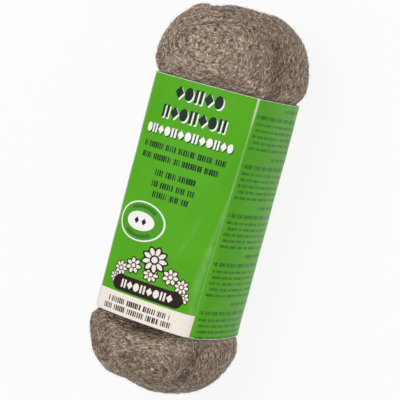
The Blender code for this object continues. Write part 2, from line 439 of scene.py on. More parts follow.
@dataclass
class WoolSkin:
    """The matted body of the wool, the solid's own form with finer lumps."""

    form: RollForm
    finish: WoolFinish = field(default_factory=WoolFinish)
    held_in: float = 1.2 * MM  # how far the sleeve presses it in, past the solid
    sunk: float = 0.7 * MM  # how far it lies under the strands outside the sleeve
    release: float = 2.5 * MM  # the length over which it springs out of the sleeve
    sprung: float = 0.3  # the share of it at the sleeve's edge
    tuft_height: float = 0.3 * MM
    tuft_size: float = 3.2 * MM
    hollow_depth: float = 3.4 * MM  # under the sleeve's bottom edge, at the front
    hollow_reach: tuple[float, float] = (0.66, 4.0 * MM)  # round the roll, in radians, and along it
    hollow_at: float = math.radians(98)
    fold_fill: float = 0.7 * MM  # how far matted wool fills the valley of the last turn's free edge
    fold_reach: float = 2.6 * MM
    # how much painted shade the fold gets; the hollow under the sleeve's edge gets all of it
    fold_shade: float = 0.6
    neck_fill: float = 1.1 * MM  # how far the wool swells where it leaves the sleeve
    neck_run: float = 9.0 * MM
    fold_turns: float = 1.3
    fold_power: float = 2.5
    grown_inside: float = 2.0 * MM  # how far in under the sleeve strands still start
    under_height: float = 0.016  # strands below this height belong to the underside

    def loft(self, y: float) -> float:
        """0 in the sleeve, 1 where the wool is loose."""
        return smooth(self.form.past_sleeve(y) / self.release + self.sprung)

    def build(self) -> Object:
        """The skin, copied from the solid's mesh, merged, rounded and given its tufts.

        Returns:
            The skin, with the strands' directions stored on it.
        """
        shape = bmesh.new()
        shape.from_mesh(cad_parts["wool_roll"].data)
        bmesh.ops.remove_doubles(shape, verts=shape.verts, dist=1e-6)
        mesh = bpy.data.meshes.new("wool_skin")
        shape.to_mesh(mesh)
        shape.free()
        skin = bpy.data.objects.new("wool_skin", mesh)
        bpy.context.scene.collection.objects.link(skin)
        finer = skin.modifiers.new("finer", "SUBSURF")
        finer.levels = finer.render_levels = 1
        as_plain_mesh(skin)
        self.add_tufts(skin.data)
        self.store_lie(skin.data)
        skin.data.shade_smooth()
        skin.data.materials.clear()
        skin.data.materials.append(self.finish.material())
        return skin

    def add_tufts(self, mesh: bpy.types.Mesh) -> None:
        """Sinks the skin a little everywhere, more in the sleeve, and raises low tufts.

        Args:
            mesh: the skin's mesh.
        """
        facing = [vertex.normal.copy() for vertex in mesh.vertices]
        folds = [self.fold(vertex.co) for vertex in mesh.vertices]
        hollows = [self.hollow(vertex.co) for vertex in mesh.vertices]
        for vertex, normal, fold, hollow in zip(mesh.vertices, facing, folds, hollows):
            loft = self.loft(vertex.co.y)
            tuft = noise.fractal(vertex.co / self.tuft_size, 1.0, 2.0, 3) * self.tuft_height
            inwards = self.held_in + (self.sunk - self.held_in) * loft
            inwards += hollow * self.hollow_depth - fold * self.fold_fill
            run = min(max(self.form.past_sleeve(vertex.co.y) / self.neck_run, 0.0), 1.0)
            inwards -= self.neck_fill * 4 * run * (1 - run) * (1 - hollow)
            vertex.co += normal * (tuft * loft - inwards)
            vertex.co.z = max(vertex.co.z, 0.0)
        mesh.update()
        # painted shade: darker colour in the folds and a painted shadow in the hollow under the sleeve's
        # bottom edge
        shades = [max(fold * self.fold_shade, hollow) for fold, hollow in zip(folds, hollows)]
        store_values(mesh, PAINTED_SHADE, "FLOAT", "POINT", shades)

    def fold(self, place: Vector) -> float:
        """1 along the free edge of the last turn at each end, fading to 0 beside it.

        Args:
            place: a point of the skin.

        Returns:
            How deep in the fold it is.
        """
        form = self.form
        loft = self.loft(place.y)
        if loft == 0.0:
            return 0.0
        height = place.z - form.axis_height
        radius = math.hypot(place.x, height)
        share = min(radius / (form.front_panel / 2 + 2 * form.side_bulge), 1.0)
        edge = END_EDGES[End.at(place.y)] + FULL_TURN * self.fold_turns * (1 - share) ** self.fold_power
        away = abs((math.atan2(height, place.x) - edge + math.pi) % FULL_TURN - math.pi) * radius
        return math.exp(-((away / self.fold_reach) ** 2)) * loft * smooth(share * 2)

    def hollow(self, place: Vector) -> float:
        """1 in the hollow under the sleeve's bottom edge, at the front, fading to 0 round it.

        Args:
            place: a point of the skin.

        Returns:
            How deep in the hollow it is.
        """
        turned = math.atan2(place.z - self.form.axis_height, place.x) - self.hollow_at
        along = place.y - self.form.low_y + self.hollow_reach[1] * 0.25
        return math.exp(-((turned / self.hollow_reach[0]) ** 2) - (along / self.hollow_reach[1]) ** 2)

    def store_lie(self, mesh: bpy.types.Mesh) -> None:
        """Stores the strands' direction, the skin's facing and loft, and each face's patch.

        Args:
            mesh: the skin's mesh.
        """
        normals = [vertex.normal.copy() for vertex in mesh.vertices]
        flows = [End.at(vertex.co.y).value.flow(normal) for vertex, normal in zip(mesh.vertices, normals)]
        lofts = [self.loft(vertex.co.y) for vertex in mesh.vertices]
        patches = [self.patch_of(face.center) for face in mesh.polygons]
        for name, vectors in ((FLOW, flows), (FACING, normals)):
            store_values(mesh, name, "FLOAT_VECTOR", "POINT", [value for each in vectors for value in each])
        store_values(mesh, LOFT, "FLOAT", "POINT", lofts)
        store_values(mesh, PATCH, "INT", "FACE", patches)

    def patch_of(self, place: Vector) -> int:
        """The number of the patch of strands that a place on the skin belongs to, -1 for none.

        Args:
            place: the middle of a face of the skin.

        Returns:
            The patch's number.
        """
        if self.form.past_sleeve(place.y) < -self.grown_inside:
            return -1
        side = Side.UNDER if place.z < self.under_height else Side.RIGHT if place.x > 0 else Side.LEFT
        return patch_number(End.at(place.y), side)

    def dress(self, skin: Object) -> None:
        """Says what the skin stands for."""
        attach(skin, "root")
        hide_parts("wool_roll")


def patch_number(end: End, side: Side) -> int:
    """The number of the patch on that side of that end."""
    return list(End).index(end) * len(Side) + list(Side).index(side)


def store_values(mesh: bpy.types.Mesh, name: str, kind: str, domain: str, values: list) -> None:
    """Stores one attribute on a mesh.

    Args:
        mesh: the mesh.
        name: the attribute's name.
        kind: its data type.
        domain: what it is stored on.
        values: all its numbers, one after another.
    """
    attribute = mesh.attributes.new(name, kind, domain)
    attribute.data.foreach_set("vector" if kind == "FLOAT_VECTOR" else "value", values)


def as_plain_mesh(thing: Object) -> None:
    """Replaces an object's mesh by what its modifiers make of it, and removes them.

    Args:
        thing: the object.
    """
    bpy.context.view_layer.update()
    graph = bpy.context.evaluated_depsgraph_get()
    made = bpy.data.meshes.new_from_object(
        thing.evaluated_get(graph), preserve_all_data_layers=True, depsgraph=graph)
    old = thing.data
    thing.modifiers.clear()
    thing.data = made
    made.name = thing.name
    bpy.data.meshes.remove(old)


@dataclass(frozen=True)
class StrandStyle:
    """How one kind of strand grows."""

    steps: int = 5
    step: float = 1.15 * MM
    width: float = 0.18 * MM
    rise: float = 0.75 * MM  # how far the highest strands arch over the skin
    root: float = 0.3 * MM  # how deep a strand starts and ends in the skin
    stray: float = 0.85  # how far strands turn from the common direction, in radians
    curl: float = 0.5  # the most that a strand bends at each step, in radians
    wander: float = 0.6  # how far its path wavers
    wander_size: float = 2.0 * MM
    lifts_off: bool = False  # a fly-away strand ends in the air
    per_area: float = 1_080_000.0  # strands on a square metre


class StrandTree:
    """The Geometry Nodes tree that grows strands on a patch of the skin."""

    inputs = {"Patch": "Int", "Density": "Float", "Seed": "Int", "Step": "Float", "Width": "Float",
              "Rise": "Float", "Root": "Float", "Stray": "Float", "Curl": "Float", "Wander": "Float"}
    draws = {TINT: 11, TURN: 23, "turn_share": 29, BEND: 31, RISE: 47}  # added to a piece's own seed

    def __init__(self, name: str, style: StrandStyle, material: Material) -> None:
        """Builds the tree.

        Args:
            name: the tree's name.
            style: how the strands grow.
            material: their finish.
        """
        self.style = style
        self.tree = bpy.data.node_groups.new(name, "GeometryNodeTree")
        face = self.tree.interface
        face.new_socket("Skin", in_out="INPUT", socket_type="NodeSocketGeometry")
        self.identifiers = {}
        for key, kind in self.inputs.items():
            made = face.new_socket(key, in_out="INPUT", socket_type=f"NodeSocket{kind}")
            self.identifiers[key] = made.identifier
        face.new_socket("Strands", in_out="OUTPUT", socket_type="NodeSocketGeometry")
        self.graph = Graph(self.tree)
        self.given = self.graph.node("NodeGroupInput").outputs
        strands = self.tubes(self.grown(self.seeded()))
        node = self.graph.node
        real = node("GeometryNodeRealizeInstances", {0: strands}).outputs[0]
        shown = node("GeometryNodeSetMaterial", {0: real, "Material": material}).outputs[0]
        node("NodeGroupOutput", {0: shown})

    def stored(self, name: str, kind: str = "FLOAT") -> Socket:
        """A stored attribute's value."""
        return self.graph.node("GeometryNodeInputNamedAttribute", {"Name": name}, data_type=kind).outputs[0]

    def store(self, geometry: Socket, name: str, value: object, kind: str = "FLOAT") -> Socket:
        """Geometry with a value stored on its points."""
        inputs = {"Geometry": geometry, "Name": name, "Value": value}
        return self.graph.node("GeometryNodeStoreNamedAttribute", inputs, data_type=kind).outputs[0]

    def sampled(self, value: Socket, kind: str) -> Socket:
        """What the skin holds nearest to the point."""
        inputs = {"Mesh": self.given["Skin"], "Value": value}
        return self.graph.node("GeometryNodeSampleNearestSurface", inputs, data_type=kind).outputs[0]

    def random(self, low: float, high: float, extra: int) -> Socket:
        """A random number for each point, from the tree's seed and an extra one."""
        seed = self.graph.maths("ADD", self.given["Seed"], extra)
        inputs = {2: low, 3: high, 8: seed}
        return self.graph.node("FunctionNodeRandomValue", inputs, data_type="FLOAT").outputs[1]

    def seeded(self) -> Socket:
        """Loose vertices on the patch, a root's depth under the skin, with each strand's own numbers.

        Returns:
            The geometry.
        """
        node = self.graph.node
        here = node("FunctionNodeCompare", {2: self.stored(PATCH, "INT"), 3: self.given["Patch"]},
                    data_type="INT", operation="EQUAL").outputs[0]
        inputs = {"Mesh": self.given["Skin"], "Selection": here, "Density": self.given["Density"],
                  "Seed": self.given["Seed"]}
        points = node("GeometryNodeDistributePointsOnFaces", inputs).outputs["Points"]
        found = node("GeometryNodePointsToVertices", {0: points}).outputs[0]
        down = self.graph.scaled(self.sampled(self.stored(FACING, "FLOAT_VECTOR"), "FLOAT_VECTOR"),
                                 self.graph.maths("MULTIPLY", self.given["Root"], -1.0))
        found = node("GeometryNodeSetPosition", {"Geometry": found, "Offset": down}).outputs[0]
        found = self.store(found, TINT, self.random(0.0, 1.0, self.draws[TINT]))
        both_ways = self.graph.maths("MULTIPLY", self.random(-1.0, 1.0, self.draws[TURN]),
                                     self.random(0.3, 1.0, self.draws["turn_share"]))
        found = self.store(found, TURN, both_ways)
        found = self.store(found, BEND, self.random(-1.0, 1.0, self.draws[BEND]))
        found = self.store(found, RISE, self.random(0.1, 1.0, self.draws[RISE]))
        # carries the skin's painted shade onto each strand
        found = self.store(found, PAINTED_SHADE, self.sampled(self.stored(PAINTED_SHADE), "FLOAT"))
        return self.store(found, TIP, True, "BOOLEAN")

    def height(self, share: Socket) -> Socket:
        """A strand's height over the skin at that share of its length.

        Args:
            share: the share of its length.

        Returns:
            The height, less than zero in the skin.
        """
        maths = self.graph.maths
        if self.style.lifts_off:
            arch = maths("POWER", share, 1.6)
        else:
            arch = maths("SINE", maths("MULTIPLY", share, math.pi))
        raised = maths("MULTIPLY", maths("MULTIPLY", arch, self.given["Rise"]), self.stored(RISE))
        sunk = maths("MULTIPLY", maths("SUBTRACT", 1.0, arch), self.given["Root"])
        return maths("SUBTRACT", maths("MULTIPLY", raised, self.sampled(self.stored(LOFT), "FLOAT")), sunk)

    def grown(self, seeds: Socket) -> Socket:
        """The seeds drawn out into chains of edges over the skin, a step at a time.

        Args:
            seeds: the loose vertices.

        Returns:
            The chains.
        """
        graph, maths, node = self.graph, self.graph.maths, self.graph.node
        start = node("GeometryNodeRepeatInput")
        end = node("GeometryNodeRepeatOutput")
        start.pair_with_output(end)
        graph.feed(start.inputs["Iterations"], self.style.steps)
        graph.feed(start.inputs["Geometry"], seeds)
        count = maths("ADD", start.outputs["Iteration"], 1.0)
        share = maths("DIVIDE", count, float(self.style.steps))
        place = node("GeometryNodeInputPosition").outputs[0]
        skin_place = self.sampled(place, "FLOAT_VECTOR")
        normal = self.sampled(self.stored(FACING, "FLOAT_VECTOR"), "FLOAT_VECTOR")
        flow = self.sampled(self.stored(FLOW, "FLOAT_VECTOR"), "FLOAT_VECTOR")
        waver = maths("SUBTRACT", graph.noise(place, self.style.wander_size), 0.5)
        curled = maths("MULTIPLY", maths("MULTIPLY", self.stored(BEND), self.given["Curl"]),
                       maths("SUBTRACT", count, self.style.steps / 2))
        angle = maths("MULTIPLY_ADD", self.stored(TURN), self.given["Stray"],
                      maths("MULTIPLY_ADD", waver, self.given["Wander"], curled))
        turned = node("ShaderNodeVectorRotate", {"Vector": flow, "Axis": normal, "Angle": angle},
                      rotation_type="AXIS_ANGLE").outputs[0]
        onwards = graph.vector("ADD", skin_place, graph.scaled(turned, self.given["Step"]))
        raised = graph.vector("ADD", onwards, graph.scaled(normal, self.height(share)))
        inputs = {"Mesh": start.outputs["Geometry"], "Selection": self.stored(TIP, "BOOLEAN"),
                  "Offset": graph.vector("SUBTRACT", raised, place)}
        longer = node("GeometryNodeExtrudeMesh", inputs, mode="VERTICES").outputs
        graph.feed(end.inputs["Geometry"], self.store(longer["Mesh"], TIP, longer["Top"], "BOOLEAN"))
        return end.outputs["Geometry"]

    def tubes(self, chains: Socket) -> Socket:
        """The chains as closed three-sided strands, thin at both ends.

        Args:
            chains: the chains of edges.

        Returns:
            The strands, clear of the floor.
        """
        graph, maths, node = self.graph, self.graph.maths, self.graph.node
        split = node("ShaderNodeSeparateXYZ", {0: node("GeometryNodeInputPosition").outputs[0]}).outputs
        lifted = maths("MAXIMUM", split["Z"], self.given["Width"])
        place = node("ShaderNodeCombineXYZ", {0: split["X"], 1: split["Y"], 2: lifted}).outputs[0]
        above = node("GeometryNodeSetPosition", {"Geometry": chains, "Position": place}).outputs[0]
        curves = node("GeometryNodeMeshToCurve", {0: above}).outputs[0]
        along = node("GeometryNodeSplineParameter").outputs["Factor"]
        belly = maths("SINE", maths("MULTIPLY", along, math.pi))
        own = maths("MULTIPLY_ADD", self.stored(BEND), 0.25, 1.0)
        shape = maths("MULTIPLY", maths("MULTIPLY_ADD", belly, 0.6, 0.4), own)
        thick = maths("MULTIPLY", shape, self.given["Width"])
        ring = node("GeometryNodeCurvePrimitiveCircle", {"Resolution": 3, "Radius": 0.5}).outputs[0]
        inputs = {"Curve": curves, "Profile Curve": ring, "Scale": thick, "Fill Caps": True}
        tubes = node("GeometryNodeCurveToMesh", inputs).outputs[0]
        return node("GeometryNodeSetShadeSmooth", {0: tubes}).outputs[0]


@dataclass
class Strands:
    """The strands that lie over the skin, one piece for each side of each end, and the fly-away ones."""

    skin: Object
    finish: StrandFinish = field(default_factory=StrandFinish)
    laid: StrandStyle = field(default_factory=StrandStyle)
    fuzz: StrandStyle = field(default_factory=lambda: StrandStyle(
        steps=6, step=1.2 * MM, width=0.09 * MM, rise=2.2 * MM, stray=2.2, curl=0.5, wander=2.0,
        lifts_off=True, per_area=140_000.0))
    under_share: float = 0.6  # the underside needs fewer
    laid_seed: int = 100
    loose_seed: int = 200

    def build(self) -> list[Object]:
        """Every piece of strands.

        Returns:
            The pieces.
        """
        material = self.finish.material()
        laid = StrandTree("laid_strands", self.laid, material)
        fuzz = StrandTree("loose_strands", self.fuzz, material)
        pieces = []
        for end in End:
            for side in Side:
                name = f"{end.name.lower()}_{side.value}"
                number = patch_number(end, side)
                pieces.append(self.grow(f"strands_{name}", laid, number, self.laid_seed + number, side))
                seed = self.loose_seed + number
                pieces.append(self.grow(f"loose_strands_{name}", fuzz, number, seed, side))
        return pieces

    def grow(self, name: str, tree: StrandTree, patch: int, seed: int, side: Side) -> Object:
        """One piece of strands as a plain mesh.

        Args:
            name: the piece's name.
            tree: the tree that grows it.
            patch: the patch of the skin it grows on.
            seed: its random seed.
            side: the side of the roll it is on.

        Returns:
            The piece.
        """
        style = tree.style
        piece = bpy.data.objects.new(name, self.skin.data.copy())
        bpy.context.scene.collection.objects.link(piece)
        grower = piece.modifiers.new("grown", "NODES")
        grower.node_group = tree.tree
        density = style.per_area * (self.under_share if side is Side.UNDER else 1.0)
        values = {"Patch": patch, "Density": density, "Seed": seed, "Step": style.step,
                  "Width": style.width, "Rise": style.rise, "Root": style.root, "Stray": style.stray,
                  "Curl": style.curl, "Wander": style.wander}
        for key, value in values.items():
            grower[tree.identifiers[key]] = value
        as_plain_mesh(piece)
        for old in (FLOW, FACING, LOFT, PATCH, TIP, TURN, BEND, RISE):
            if old in piece.data.attributes:
                piece.data.attributes.remove(piece.data.attributes[old])
        return piece

    def dress(self, pieces: list[Object]) -> None:
        """Says what the strands belong to."""
        for piece in pieces:
            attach(piece, "root")


@dataclass(frozen=True)
class PrintRow:
    """One row of printed marks, in metres across and along the strip."""

    left: float
    right: float
    low: float
    high: float
    cell: float
    seed: float = 0.0


@dataclass(frozen=True)
class PaperFinish:
    """Glossy printed paper: green, with rows of marks, a badge, a stack of rosettes and a pale panel."""

    green: Colour = (0.088, 0.385, 0.012)
    deep_green: Colour = (0.045, 0.26, 0.035)
    ink: Colour = (0.012, 0.030, 0.018)
    brown_ink: Colour = (0.022, 0.014, 0.011)
    pale: Colour = (0.93, 0.85, 0.77)
    white: Colour = (0.95, 0.93, 0.89)
    bare: Colour = (0.80, 0.80, 0.70)
    # painted sheen: the paler green beside the front right crease and on the front panel, and how much of it
    # shows
    sheen_green: Colour = (0.24, 0.50, 0.12)
    sheen_strength: float = 0.7
    lively: float = 1.08  # how much brighter the green is in places
    ripple: float = 0.35 * MM
    roughness: float = 0.34
    gloss: float = 0.1

    def material(self, form: RollForm) -> Material:
        """The printed face.

        Args:
            form: the roll's sizes.

        Returns:
            The material.
        """
        material, graph, surface = plain_material("printed_paper", self.green, self.roughness)
        place = graph.node("ShaderNodeAttribute", attribute_name=PLACE).outputs["Vector"]
        split = graph.node("ShaderNodeSeparateXYZ", {0: place})
        across, along = split.outputs["X"], split.outputs["Y"]
        graph.feed(surface.inputs["Base Color"], Print(graph, across, along, form, self).colour())
        graph.feed(surface.inputs["Specular IOR Level"], self.gloss)
        where = graph.place()
        smears = graph.noise(where, 14 * MM, 3.0)
        rough = graph.ramp(smears, 0.3, 0.7, self.roughness - 0.05, self.roughness + 0.09)
        graph.feed(surface.inputs["Roughness"], rough)
        ripples = graph.maths("ADD", graph.noise(where, 9 * MM, 2.0), graph.noise(where, 26 * MM, 1.0))
        bump = graph.node("ShaderNodeBump", {"Strength": 0.5, "Distance": self.ripple, "Height": ripples})
        graph.feed(surface.inputs["Normal"], bump.outputs[0])
        return material

    def bare_material(self) -> Material:
        """The paper's unprinted back and its cut edges.

        Returns:
            The material.
        """
        material, graph, surface = plain_material("bare_paper", self.bare, 0.8)
        place = graph.place()
        fibres = graph.noise(place, 0.5 * MM, 3.0)
        darker = tuple(0.86 * value for value in self.bare)
        graph.feed(surface.inputs["Base Color"], graph.mix(graph.ramp(fibres, 0.3, 0.7), darker, self.bare))
        return material


class Print:
    """Lays the sleeve's printed design out, in metres across and along the strip."""

    row_keys = {"Across": 0.0, "Along": 0.0, "Left": 0.0, "Right": 0.05, "Low": 0.0, "High": 0.006,
                "Cell": 0.005, "Seed": 0.0}
    panel_top = 12.2 * MM

    def __init__(
            self, graph: Graph, across: Socket, along: Socket, form: RollForm, inks: PaperFinish) -> None:
        """Takes the graph, the two coordinates, the roll's sizes and the inks."""
        self.graph = graph
        self.across = across
        self.along = along
        self.form = form
        self.inks = inks
        self.strokes = self.strokes_group()
        self.frieze = self.frieze_group()
        self.rosette = self.rosette_group()

    def strokes_group(self) -> bpy.types.NodeTree:
        """A group that masks a row of short upright strokes, broken into uneven lengths.

        Returns:
            The group.
        """
        graph, at, out = group_tree("row_of_strokes", self.row_keys, ["Mask"])
        maths = graph.maths
        inside = self.box_mask(graph, at)
        counted = maths("DIVIDE", maths("SUBTRACT", at["Across"], at["Left"]), at["Cell"])
        cell = maths("FLOOR", counted)
        thick = maths("MULTIPLY_ADD", graph.dice(cell, at["Seed"]), 0.4, 0.45)
        stroke = maths("LESS_THAN", maths("FRACT", counted), thick)
        run = maths("MULTIPLY_ADD", counted, 1 / 7, maths("MULTIPLY", at["Seed"], 0.37))
        gap = maths("MULTIPLY_ADD", graph.dice(maths("FLOOR", run), at["Seed"]), 0.6, 0.15)
        in_run = maths("GREATER_THAN", graph.apart(maths("FRACT", run), gap), 0.075)
        mask = maths("MULTIPLY", maths("MULTIPLY", inside, stroke), in_run)
        graph.feed(out.inputs["Mask"], mask)
        return graph.tree

    def frieze_group(self) -> bpy.types.NodeTree:
        """A group that masks a row of discs, lozenges and twin posts of one height.

        Returns:
            The group.
        """
        graph, at, out = group_tree("row_of_shapes", self.row_keys, ["Mask"])
        maths = graph.maths
        inside = self.box_mask(graph, at)
        counted = maths("DIVIDE", maths("SUBTRACT", at["Across"], at["Left"]), at["Cell"])
        side = graph.apart(maths("FRACT", counted), 0.5)
        tall = maths("SUBTRACT", at["High"], at["Low"])
        up = graph.apart(maths("DIVIDE", maths("SUBTRACT", at["Along"], at["Low"]), tall), 0.5)
        which = maths("FLOORED_MODULO", maths("ADD", maths("FLOOR", counted), at["Seed"]), 3.0)
        squares = [maths("POWER", maths("DIVIDE", off, half), 2.0) for off, half in ((side, 0.43), (up, 0.5))]
        disc = maths("LESS_THAN", maths("SQRT", maths("ADD", *squares)), 1.0)
        slope = maths("ADD", maths("DIVIDE", side, 0.46), maths("DIVIDE", up, 0.5))
        lozenge = maths("LESS_THAN", slope, 1.0)
        posts = maths("LESS_THAN", graph.apart(side, 0.24), 0.14)
        first = maths("MULTIPLY", posts, maths("LESS_THAN", which, 0.5))
        second = maths("MULTIPLY", lozenge, maths("COMPARE", which, 1.0, 0.5))
        third = maths("MULTIPLY", disc, maths("GREATER_THAN", which, 1.5))
        mask = maths("MULTIPLY", inside, maths("ADD", first, maths("ADD", second, third)))
        graph.feed(out.inputs["Mask"], mask)
        return graph.tree

    def rosette_group(self) -> bpy.types.NodeTree:
        """A group that masks a rosette's petals and the dark ground round them.

        Returns:
            The group.
        """
        keys = {"Across": 0.0, "Along": 0.0, "Middle": 0.0, "Height": 0.0, "Radius": 0.004, "Petals": 8.0}
        graph, at, out = group_tree("rosette", keys, ["Petals", "Ground"])
        maths = graph.maths
        right = maths("SUBTRACT", at["Across"], at["Middle"])
        up = maths("SUBTRACT", at["Along"], at["Height"])
        reach = maths("DIVIDE", graph.hypot(right, up), at["Radius"])
        angle = maths("ARCTAN2", up, right)
        wave = maths("COSINE", maths("MULTIPLY", angle, at["Petals"]))
        outline = maths("MULTIPLY_ADD", wave, 0.14, 0.72)
        petals = maths("MULTIPLY", maths("LESS_THAN", reach, outline), maths("GREATER_THAN", reach, 0.34))
        gaps = maths("GREATER_THAN", wave, -0.72)
        heart = maths("LESS_THAN", reach, 0.22)
        graph.feed(out.inputs["Petals"], maths("MAXIMUM", maths("MULTIPLY", petals, gaps), heart))
        graph.feed(out.inputs["Ground"], maths("LESS_THAN", reach, maths("MULTIPLY_ADD", wave, 0.1, 0.9)))
        return graph.tree

    @staticmethod
    def box_mask(graph: Graph, at: dict[str, object]) -> Socket:
        """1 inside a rectangle, 0 outside it.

        Args:
            graph: the graph to build in.
            at: the place and the rectangle's four edges, by name.

        Returns:
            The mask.
        """
        maths = graph.maths
        sides = maths("MULTIPLY", maths("GREATER_THAN", at["Across"], at["Left"]),
                      maths("LESS_THAN", at["Across"], at["Right"]))
        ends = maths("MULTIPLY", maths("GREATER_THAN", at["Along"], at["Low"]),
                     maths("LESS_THAN", at["Along"], at["High"]))
        return maths("MULTIPLY", sides, ends)

    def placed(
            self, tree: bpy.types.NodeTree, inputs: dict,
            shift: tuple[float, float] = (0.0, 0.0)) -> bpy.types.Node:
        """A group in the material, read a little to the side where it is a drop shadow.

        Args:
            tree: the group.
            inputs: its values by name.
            shift: how far right and down the shadow falls.

        Returns:
            The group's node.
        """
        across, along = self.across, self.along
        if any(shift):
            across = self.graph.maths("SUBTRACT", across, shift[0])
            along = self.graph.maths("ADD", along, shift[1])
        where = {"Across": across, "Along": along}
        return self.graph.node("ShaderNodeGroup", {**where, **inputs}, node_tree=tree)

    def row(
            self, tree: bpy.types.NodeTree, row: PrintRow,
            shift: tuple[float, float] = (0.0, 0.0)) -> Socket:
        """The mask of one row."""
        inputs = {"Left": row.left, "Right": row.right, "Low": row.low, "High": row.high,
                  "Cell": row.cell, "Seed": row.seed}
        return self.placed(tree, inputs, shift).outputs["Mask"]

    def box(self, left: float, right: float, low: float, high: float) -> Socket:
        """The mask of a plain rectangle."""
        edges = {"Left": left, "Right": right, "Low": low, "High": high}
        return self.box_mask(self.graph, {"Across": self.across, "Along": self.along, **edges})

    def oval(self, middle: tuple[float, float], half: tuple[float, float]) -> Socket:
        """The distance from an oval's middle, 1 on its outline.

        Args:
            middle: its middle across and along the strip.
            half: its half sizes.

        Returns:
            The distance.
        """
        maths = self.graph.maths
        right = maths("DIVIDE", maths("SUBTRACT", self.across, middle[0]), half[0])
        up = maths("DIVIDE", maths("SUBTRACT", self.along, middle[1]), half[1])
        return self.graph.hypot(right, up)

    def colour(self) -> Socket:
        """The whole design's colour.

        Returns:
            The colour's socket.
        """
        graph, inks = self.graph, self.inks
        where = graph.place()
        uneven = graph.ramp(graph.noise(where, 20 * MM, 3.0), 0.3, 0.7)
        lively = tuple(min(1.0, inks.lively * value) for value in inks.green)
        colour = graph.mix(uneven, inks.green, lively)
        colour = self.titles(colour)
        colour = self.badge(colour)
        colour = self.pale_panel(self.rosettes(colour))
        # the painted sheen on the front panel, then the side panel's rows
        colour = self.side_rows(self.painted_sheen(colour))
        return self.worn_creases(colour)

    def titles(self, colour: Socket) -> Socket:
        """The two large rows, the white one and the five thin ones on the front panel.

        Args:
            colour: what lies under it.

        Returns:
            The new colour.
        """
        mix, inks = self.graph.mix, self.inks
        large = [PrintRow(16.8 * MM, 43.1 * MM, 122.8 * MM, 130.1 * MM, 5.26 * MM, 1.0),
                 PrintRow(11.8 * MM, 47.8 * MM, 111.4 * MM, 118.4 * MM, 5.14 * MM, 0.0)]
        for row in large:
            colour = mix(self.row(self.frieze, row, (0.75 * MM, 0.7 * MM)), colour, inks.white)
            colour = mix(self.row(self.frieze, row), colour, inks.ink)
        pale = PrintRow(4.8 * MM, 54.9 * MM, 101.7 * MM, 106.8 * MM, 3.85 * MM, 2.0)
        colour = mix(self.row(self.frieze, pale, (0.6 * MM, 0.55 * MM)), colour, inks.ink)
        colour = mix(self.row(self.frieze, pale), colour, inks.white)
        thin = [(6.0, 52.8, 93.8, 97.1), (6.4, 50.4, 87.7, 91.0), (17.6, 40.3, 79.6, 82.9),
                (17.4, 41.3, 73.4, 76.7), (19.4, 39.4, 67.8, 71.1)]
        for k, (left, right, low, high) in enumerate(thin):
            row = PrintRow(left * MM, right * MM, low * MM, high * MM, 1.25 * MM, 3.0 + k)
            colour = mix(self.row(self.strokes, row), colour, inks.ink)
        return colour

    def badge(self, colour: Socket) -> Socket:
        """A white ring round a pale oval, with small marks between them.

        Args:
            colour: what lies under it.

        Returns:
            The new colour.
        """
        graph, maths, inks = self.graph, self.graph.maths, self.inks
        middle = (16.8 * MM, 53.1 * MM)
        outer = self.oval(middle, (14.3 * MM, 11.0 * MM))
        inner = self.oval((middle[0] - 0.4 * MM, middle[1]), (8.6 * MM, 5.2 * MM))
        ring = maths("COMPARE", outer, 0.965, 0.035)
        colour = graph.mix(maths("MULTIPLY", maths("LESS_THAN", outer, 0.93), 0.35), colour, inks.deep_green)
        marks = maths("COMPARE", outer, 0.74, 0.085)
        up, right = maths("SUBTRACT", self.along, middle[1]), maths("SUBTRACT", self.across, middle[0])
        angle = maths("ARCTAN2", up, right)
        ticks = maths("GREATER_THAN", maths("SINE", maths("MULTIPLY", angle, 46.0)), -0.1)
        arcs = maths("LESS_THAN", maths("ABSOLUTE", maths("COSINE", angle)), 0.78)
        marked = maths("MULTIPLY", marks, maths("MULTIPLY", ticks, arcs))
        colour = graph.mix(maths("MULTIPLY", marked, 0.85), colour, inks.ink)
        colour = graph.mix(ring, colour, inks.white)
        colour = graph.mix(maths("LESS_THAN", inner, 1.0), colour, inks.white)
        across = graph.apart(graph.apart(self.across, 16.4 * MM), 2.3 * MM)
        slope = maths("ADD", maths("DIVIDE", across, 1.5 * MM),
                      maths("DIVIDE", graph.apart(self.along, middle[1]), 2.0 * MM))
        lozenges = maths("LESS_THAN", slope, 1.0)
        return graph.mix(lozenges, colour, inks.brown_ink)

    def rosettes(self, colour: Socket) -> Socket:
        """A dark plaque with a row of pale shapes, under a stack of rosettes.

        Args:
            colour: what lies under it.

        Returns:
            The new colour.
        """
        graph, maths, inks = self.graph, self.graph.maths, self.inks
        middle, height, half, rounding = 30.2 * MM, 17.6 * MM, 16.4 * MM, 4.4 * MM
        stack = [(-20.4, 20.0, 3.8, 7.0), (20.4, 20.0, 3.8, 7.0), (-17.8, 25.4, 4.6, 8.0),
                 (17.8, 25.4, 4.6, 8.0), (-10.6, 28.8, 5.0, 7.0), (10.6, 28.8, 5.0, 7.0),
                 (0.0, 27.0, 4.8, 8.0), (0.0, 35.2, 7.8, 9.0)]
        for off, up_to, radius, petals in stack:
            inputs = {"Middle": middle + off * MM, "Height": up_to * MM, "Radius": radius * MM,
                      "Petals": petals}
            flower = self.placed(self.rosette, inputs)
            colour = graph.mix(flower.outputs["Ground"], colour, inks.brown_ink)
            colour = graph.mix(flower.outputs["Petals"], colour, inks.pale)
        past = maths("MAXIMUM", maths("SUBTRACT", graph.apart(self.across, middle), half), 0.0)
        up = maths("SUBTRACT", self.along, height)
        colour = graph.mix(maths("LESS_THAN", graph.hypot(past, up), rounding), colour, inks.brown_ink)
        row = PrintRow(14.8 * MM, 45.2 * MM, 15.3 * MM, 19.9 * MM, 3.8 * MM, 0.0)
        return graph.mix(self.row(self.frieze, row), colour, inks.pale)

